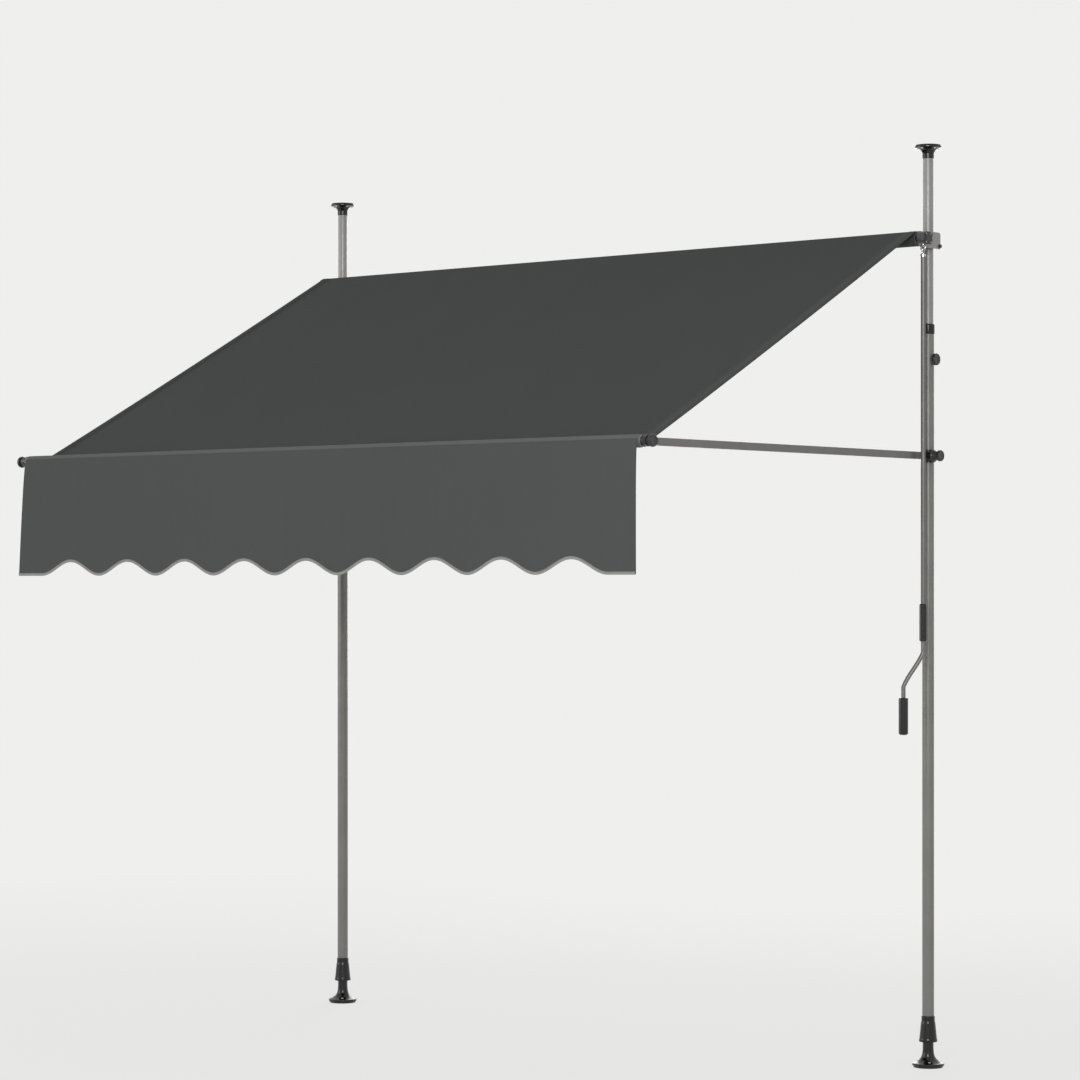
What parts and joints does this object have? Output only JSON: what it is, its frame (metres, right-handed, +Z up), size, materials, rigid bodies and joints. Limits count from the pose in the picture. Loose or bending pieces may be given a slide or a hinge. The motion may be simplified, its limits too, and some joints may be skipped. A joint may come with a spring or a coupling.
{
  "type": "canvas awning",
  "caption": "Clamp awning on telescopic posts: crank-driven cloth roller, swinging arms, front bar and scalloped valance.",
  "frame": {"origin": "on the floor, under the middle of the whole awning's box", "axes": "+Z up, X along the roller with the crank on +X, -Y towards the street"},
  "size_m": [2.2838, 1.3404, 2.5],
  "materials": {
    "post_steel": "satin grey powder coat",
    "arm_steel": "satin grey powder coat",
    "black_plastic": "satin black moulded nylon",
    "grey_plastic": "grey moulded nylon",
    "foot_rubber": "matt black rubber",
    "plated_steel": "bright zinc plate",
    "gear_bronze": "machined bronze",
    "canvas": "dyed woven polyester awning cloth",
    "binding": "woven polyester tape"
  },
  "bodies": {
    "poles": {"lower_pole_left": "post_steel", "lower_pole_right": "post_steel", "telescope_collar_left": "black_plastic", "telescope_collar_right": "black_plastic"},
    "upper_left": {"upper_pole_left": "post_steel", "ceiling_plate_left": "black_plastic", "ceiling_pad_left": "foot_rubber"},
    "lock_left": {"lock_knob_left": "black_plastic"},
    "sleeve_left": {"foot_sleeve_left": "black_plastic"},
    "foot_left": {"foot_disc_left": "black_plastic", "foot_pad_left": "foot_rubber"},
    "upper_right": {"upper_pole_right": "post_steel", "ceiling_plate_right": "black_plastic", "ceiling_pad_right": "foot_rubber"},
    "lock_right": {"lock_knob_right": "black_plastic"},
    "sleeve_right": {"foot_sleeve_right": "black_plastic"},
    "foot_right": {"foot_disc_right": "black_plastic", "foot_pad_right": "foot_rubber"},
    "carriage": {"roller_bracket_left": "post_steel", "bracket_block_left": "black_plastic", "bracket_bolt_front_left": "black_plastic", "bracket_bolt_back_left": "black_plastic", "arm_clamp_left": "black_plastic", "roller_bracket_right": "post_steel", "bracket_block_right": "black_plastic", "bracket_bolt_front_right": "black_plastic", "bracket_bolt_back_right": "black_plastic", "arm_clamp_right": "black_plastic", "gear_housing": "grey_plastic", "gear_cover": "grey_plastic"},
    "roller": {"roller_tube": "arm_steel", "fabric_roll": "canvas", "idler_plug": "black_plastic", "drive_plug": "black_plastic", "worm_wheel": "gear_bronze"},
    "worm": {"worm_shaft": "plated_steel"},
    "crank": {"crank_hook": "plated_steel", "crank_rod": "arm_steel", "crank_bend": "arm_steel"},
    "upper_grip": {"crank_upper_grip": "black_plastic"},
    "lower_grip": {"crank_lower_grip": "black_plastic"},
    "arms": {"arm_tube_left": "arm_steel", "arm_pole_end_left": "black_plastic", "arm_bar_end_left": "black_plastic", "arm_tube_right": "arm_steel", "arm_pole_end_right": "black_plastic", "arm_bar_end_right": "black_plastic", "canopy": "canvas"},
    "front_bar": {"front_bar": "arm_steel", "front_bar_cap_left": "black_plastic", "front_bar_cap_right": "black_plastic", "bar_sleeve": "canvas", "valance": "canvas", "valance_binding": "binding"},
    "pivot_knob_left": {"arm_pivot_knob_left": "black_plastic"},
    "bar_knob_left": {"bar_knob_left": "black_plastic"},
    "pivot_knob_right": {"arm_pivot_knob_right": "black_plastic"},
    "bar_knob_right": {"bar_knob_right": "black_plastic"}
  },
  "joints": [
    {"name": "upper_left_slide", "type": "slide", "parent": "poles", "child": "upper_left", "axis": [0, 0, 1], "range_m": [-0.1, 0.5]},
    {"name": "lock_left_turn", "type": "hinge", "parent": "poles", "child": "lock_left", "pos_m": [-1.088, 0.62643, 1.918], "axis": [-1, 0, 0], "range_deg": [0, 720]},
    {"name": "sleeve_left_turn", "type": "hinge", "parent": "poles", "child": "sleeve_left", "pos_m": [-1.088, 0.62643, 0.1], "axis": [0, 0, 1], "range_deg": [-1800, 1800]},
    {"name": "foot_left_jack", "type": "slide", "parent": "poles", "child": "foot_left", "axis": [0, 0, 1], "range_m": [-0.0155, 0.0155]},
    {"name": "upper_right_slide", "type": "slide", "parent": "poles", "child": "upper_right", "axis": [0, 0, 1], "range_m": [-0.1, 0.5]},
    {"name": "lock_right_turn", "type": "hinge", "parent": "poles", "child": "lock_right", "pos_m": [1.088, 0.62643, 1.918], "axis": [1, 0, 0], "range_deg": [0, 720]},
    {"name": "sleeve_right_turn", "type": "hinge", "parent": "poles", "child": "sleeve_right", "pos_m": [1.088, 0.62643, 0.1], "axis": [0, 0, 1], "range_deg": [-1800, 1800]},
    {"name": "foot_right_jack", "type": "slide", "parent": "poles", "child": "foot_right", "axis": [0, 0, 1], "range_m": [-0.0155, 0.0155]},
    {"name": "carriage_height", "type": "slide", "parent": "poles", "child": "carriage", "axis": [0, 0, 1], "range_m": [-0.15, 0.08]},
    {"name": "arm_swing", "type": "hinge", "parent": "carriage", "child": "arms", "pos_m": [0, 0.61042, 1.656], "axis": [-1, 0, 0], "range_deg": [-60, 30], "deforming": ["canopy"]},
    {"name": "front_bar_turn", "type": "hinge", "parent": "arms", "child": "front_bar", "pos_m": [0, -0.65158, 1.656], "axis": [-1, 0, 0], "range_deg": [-31, 61]},
    {"name": "roller_turn", "type": "hinge", "parent": "carriage", "child": "roller", "pos_m": [0, 0.56093, 2.24], "axis": [-1, 0, 0], "range_deg": [-1441, 721]},
    {"name": "worm_turn", "type": "hinge", "parent": "carriage", "child": "worm", "pos_m": [1.124, 0.54692, 2.24], "axis": [0, 0, -1], "range_deg": [-10090, 5050]},
    {"name": "crank_swing", "type": "hinge", "parent": "carriage", "child": "upper_grip", "pos_m": [1.124, 0.54692, 2.2066], "axis": [-1, 0, 0], "range_deg": [0, 45]},
    {"name": "crank_turn", "type": "hinge", "parent": "upper_grip", "child": "crank", "pos_m": [1.124, 0.54692, 1.206], "axis": [0, 0, -1], "range_deg": [-10090, 5050]},
    {"name": "lower_grip_spin", "type": "hinge", "parent": "crank", "child": "lower_grip", "pos_m": [1.0831, 0.51321, 0.954], "axis": [0, 0, 1], "continuous": true},
    {"name": "pivot_knob_left_turn", "type": "hinge", "parent": "carriage", "child": "pivot_knob_left", "pos_m": [-1.088, 0.61042, 1.656], "axis": [-1, 0, 0], "range_deg": [0, 720]},
    {"name": "bar_knob_left_turn", "type": "hinge", "parent": "front_bar", "child": "bar_knob_left", "pos_m": [-1.088, -0.65158, 1.656], "axis": [-1, 0, 0], "range_deg": [0, 720]},
    {"name": "pivot_knob_right_turn", "type": "hinge", "parent": "carriage", "child": "pivot_knob_right", "pos_m": [1.088, 0.61042, 1.656], "axis": [1, 0, 0], "range_deg": [0, 720]},
    {"name": "bar_knob_right_turn", "type": "hinge", "parent": "front_bar", "child": "bar_knob_right", "pos_m": [1.088, -0.65158, 1.656], "axis": [1, 0, 0], "range_deg": [0, 720]}
  ],
  "couplings": [
    {"joint": "foot_left_jack", "follows": "sleeve_left_turn", "m_per_rad": 0.00047746},
    {"joint": "foot_right_jack", "follows": "sleeve_right_turn", "m_per_rad": 0.00047746},
    {"joint": "front_bar_turn", "follows": "arm_swing", "ratio": -1},
    {"joint": "roller_turn", "follows": "arm_swing", "ratio": 24},
    {"joint": "worm_turn", "follows": "arm_swing", "ratio": 168},
    {"joint": "crank_turn", "follows": "arm_swing", "ratio": 168}
  ]
}
